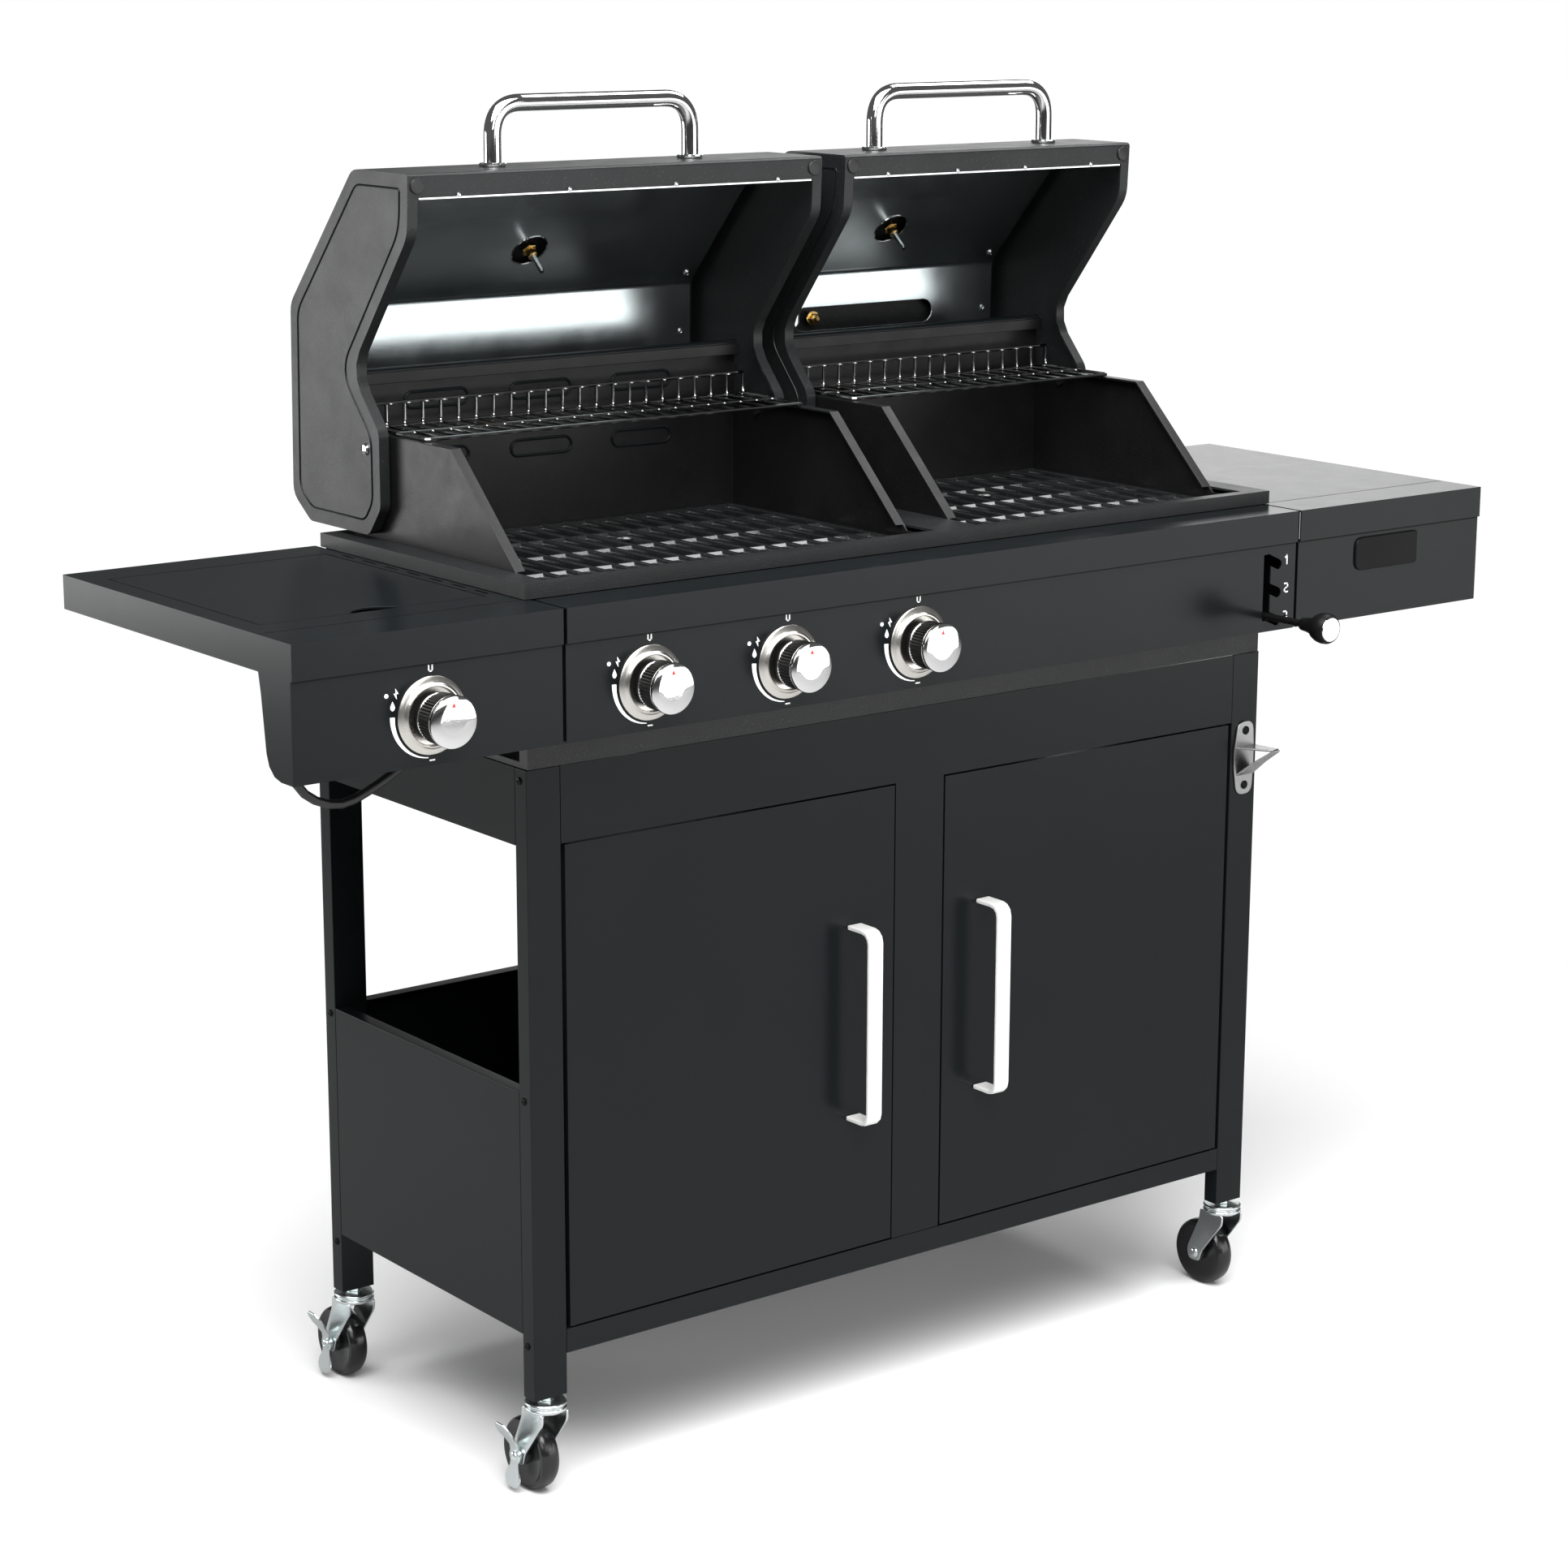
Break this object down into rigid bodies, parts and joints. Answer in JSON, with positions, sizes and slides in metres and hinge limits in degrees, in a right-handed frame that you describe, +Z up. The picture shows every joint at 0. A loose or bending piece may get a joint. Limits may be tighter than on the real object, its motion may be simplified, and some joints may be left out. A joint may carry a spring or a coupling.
{
  "type": "gas barbecue grill",
  "caption": "Dual-fuel barbecue grill on casters with lids open: gas firebox, charcoal firebox with lifting tray, side burner under a flap, side table and doored cabinet.",
  "frame": {"origin": "centre of the footprint, on the floor", "axes": "+X to the user's right, +Y to the back, +Z up; the control panel faces -Y"},
  "size_m": [1.59, 0.6238, 1.4083],
  "materials": {
    "powder_coat": "satin black textured powder coat",
    "enamel": "semi-gloss black heat-proof enamel",
    "cast_iron": "matte black enamelled casting, speckled",
    "galvanised": "bright galvanised sheet",
    "chrome": "polished chrome plate",
    "zinc": "bright zinc plate",
    "satin_silver": "satin silver paint on a flat bar",
    "tyre_rubber": "glossy black tread",
    "brass": "machined",
    "black_grip": "black grip with a bright end disc, on a black rod",
    "hose_rubber": "smooth black hose"
  },
  "bodies": {
    "cabinet": {"leg_front_left": "powder_coat", "leg_front_right": "powder_coat", "leg_rear_left": "powder_coat", "leg_rear_right": "powder_coat", "side_panel_left": "powder_coat", "side_panel_right": "powder_coat", "base_shelf": "powder_coat", "back_panel": "powder_coat", "apron_frame": "powder_coat", "head_frame": "powder_coat", "firebox_gas": "enamel", "firebox_charcoal": "enamel", "grate_gas": "cast_iron", "grate_charcoal": "cast_iron", "warming_rack_gas": "chrome", "warming_rack_charcoal": "chrome", "control_panel": "powder_coat", "manifold": "zinc", "burner_1": "galvanised", "burner_2": "galvanised", "burner_3": "galvanised", "flame_tamer": "galvanised", "side_table_left": "powder_coat", "side_table_right": "powder_coat", "side_burner": "enamel", "gas_hose": "hose_rubber"},
    "lid_gas": {"lid_gas": "powder_coat", "lid_liner_gas": "galvanised", "lid_handle_gas": "chrome", "thermometer_gas": "chrome"},
    "lid_charcoal": {"lid_charcoal": "powder_coat", "lid_liner_charcoal": "galvanised", "lid_handle_charcoal": "chrome", "thermometer_charcoal": "chrome"},
    "door_left": {"door_left": "powder_coat", "door_handle_left": "satin_silver"},
    "door_right": {"door_right": "powder_coat", "door_handle_right": "satin_silver"},
    "stem_1": {"valve_stem_1": "brass"},
    "knob_1": {"knob_1": "chrome"},
    "stem_2": {"valve_stem_2": "brass"},
    "knob_2": {"knob_2": "chrome"},
    "stem_3": {"valve_stem_3": "brass"},
    "knob_3": {"knob_3": "chrome"},
    "stem_side": {"valve_stem_side": "brass"},
    "knob_side": {"knob_side": "chrome"},
    "flap": {"burner_flap": "powder_coat"},
    "tray": {"charcoal_tray": "galvanised"},
    "lever": {"tray_lever": "black_grip"},
    "drip_tray": {"drip_tray": "galvanised"},
    "caster_front_left": {"caster_fork_front_left": "zinc"},
    "wheel_front_left": {"caster_wheel_front_left": "tyre_rubber"},
    "pedal_front_left": {"brake_pedal_front_left": "zinc"},
    "caster_front_right": {"caster_fork_front_right": "zinc"},
    "wheel_front_right": {"caster_wheel_front_right": "tyre_rubber"},
    "caster_rear_left": {"caster_fork_rear_left": "zinc"},
    "wheel_rear_left": {"caster_wheel_rear_left": "tyre_rubber"},
    "pedal_rear_left": {"brake_pedal_rear_left": "zinc"},
    "caster_rear_right": {"caster_fork_rear_right": "zinc"},
    "wheel_rear_right": {"caster_wheel_rear_right": "tyre_rubber"}
  },
  "joints": [
    {"name": "lid_gas_close", "type": "hinge", "parent": "cabinet", "child": "lid_gas", "pos_m": [-0.2255, 0.16113, 1.0515], "axis": [1, 0, 0], "range_deg": [0, 90]},
    {"name": "lid_charcoal_close", "type": "hinge", "parent": "cabinet", "child": "lid_charcoal", "pos_m": [0.2775, 0.16113, 1.0515], "axis": [1, 0, 0], "range_deg": [0, 90]},
    {"name": "door_left_open", "type": "hinge", "parent": "cabinet", "child": "door_left", "pos_m": [-0.452, -0.14587, 0.437], "axis": [0, 0, -1], "range_deg": [0, 100]},
    {"name": "door_right_open", "type": "hinge", "parent": "cabinet", "child": "door_right", "pos_m": [0.452, -0.14587, 0.437], "axis": [0, 0, 1], "range_deg": [0, 100]},
    {"name": "valve_1_push", "type": "slide", "parent": "cabinet", "child": "stem_1", "axis": [0, 1, 0], "range_m": [0, 0.003], "stiffness_N_per_m": 600},
    {"name": "knob_1_turn", "type": "hinge", "parent": "stem_1", "child": "knob_1", "pos_m": [-0.3955, -0.21087, 0.8575], "axis": [0, -1, 0], "range_deg": [0, 180]},
    {"name": "valve_2_push", "type": "slide", "parent": "cabinet", "child": "stem_2", "axis": [0, 1, 0], "range_m": [0, 0.003], "stiffness_N_per_m": 600},
    {"name": "knob_2_turn", "type": "hinge", "parent": "stem_2", "child": "knob_2", "pos_m": [-0.2255, -0.21087, 0.8575], "axis": [0, -1, 0], "range_deg": [0, 180]},
    {"name": "valve_3_push", "type": "slide", "parent": "cabinet", "child": "stem_3", "axis": [0, 1, 0], "range_m": [0, 0.003], "stiffness_N_per_m": 600},
    {"name": "knob_3_turn", "type": "hinge", "parent": "stem_3", "child": "knob_3", "pos_m": [-0.0555, -0.21087, 0.8575], "axis": [0, -1, 0], "range_deg": [0, 180]},
    {"name": "valve_side_push", "type": "slide", "parent": "cabinet", "child": "stem_side", "axis": [0, 1, 0], "range_m": [0, 0.003], "stiffness_N_per_m": 600},
    {"name": "knob_side_turn", "type": "hinge", "parent": "stem_side", "child": "knob_side", "pos_m": [-0.646, -0.21087, 0.8575], "axis": [0, -1, 0], "range_deg": [0, 180]},
    {"name": "flap_open", "type": "hinge", "parent": "cabinet", "child": "flap", "pos_m": [-0.646, 0.18313, 0.9385], "axis": [-1, 0, 0], "range_deg": [0, 95]},
    {"name": "tray_lift", "type": "slide", "parent": "cabinet", "child": "tray", "axis": [0, 0, 1], "range_m": [0, 0.064]},
    {"name": "lever_notch", "type": "slide", "parent": "tray", "child": "lever", "axis": [0.9247, 0, -0.3808], "range_m": [0, 0.016]},
    {"name": "drip_tray_pull", "type": "slide", "parent": "cabinet", "child": "drip_tray", "axis": [0, 1, 0], "range_m": [0, 0.2]},
    {"name": "caster_front_left_swivel", "type": "hinge", "parent": "cabinet", "child": "caster_front_left", "pos_m": [-0.482, -0.14087, 0.1], "axis": [0, 0, 1], "continuous": true},
    {"name": "wheel_front_left_spin", "type": "hinge", "parent": "caster_front_left", "child": "wheel_front_left", "pos_m": [-0.482, -0.11287, 0.039], "axis": [1, 0, 0], "continuous": true},
    {"name": "pedal_front_left_press", "type": "hinge", "parent": "caster_front_left", "child": "pedal_front_left", "pos_m": [-0.503, -0.11287, 0.039], "axis": [-1, 0, 0], "range_deg": [0, 12]},
    {"name": "caster_front_right_swivel", "type": "hinge", "parent": "cabinet", "child": "caster_front_right", "pos_m": [0.482, -0.14087, 0.1], "axis": [0, 0, 1], "continuous": true},
    {"name": "wheel_front_right_spin", "type": "hinge", "parent": "caster_front_right", "child": "wheel_front_right", "pos_m": [0.482, -0.11287, 0.039], "axis": [1, 0, 0], "continuous": true},
    {"name": "caster_rear_left_swivel", "type": "hinge", "parent": "cabinet", "child": "caster_rear_left", "pos_m": [-0.482, 0.23913, 0.1], "axis": [0, 0, 1], "continuous": true},
    {"name": "wheel_rear_left_spin", "type": "hinge", "parent": "caster_rear_left", "child": "wheel_rear_left", "pos_m": [-0.482, 0.26713, 0.039], "axis": [1, 0, 0], "continuous": true},
    {"name": "pedal_rear_left_press", "type": "hinge", "parent": "caster_rear_left", "child": "pedal_rear_left", "pos_m": [-0.503, 0.26713, 0.039], "axis": [-1, 0, 0], "range_deg": [0, 12]},
    {"name": "caster_rear_right_swivel", "type": "hinge", "parent": "cabinet", "child": "caster_rear_right", "pos_m": [0.482, 0.23913, 0.1], "axis": [0, 0, 1], "continuous": true},
    {"name": "wheel_rear_right_spin", "type": "hinge", "parent": "caster_rear_right", "child": "wheel_rear_right", "pos_m": [0.482, 0.26713, 0.039], "axis": [1, 0, 0], "continuous": true}
  ]
}
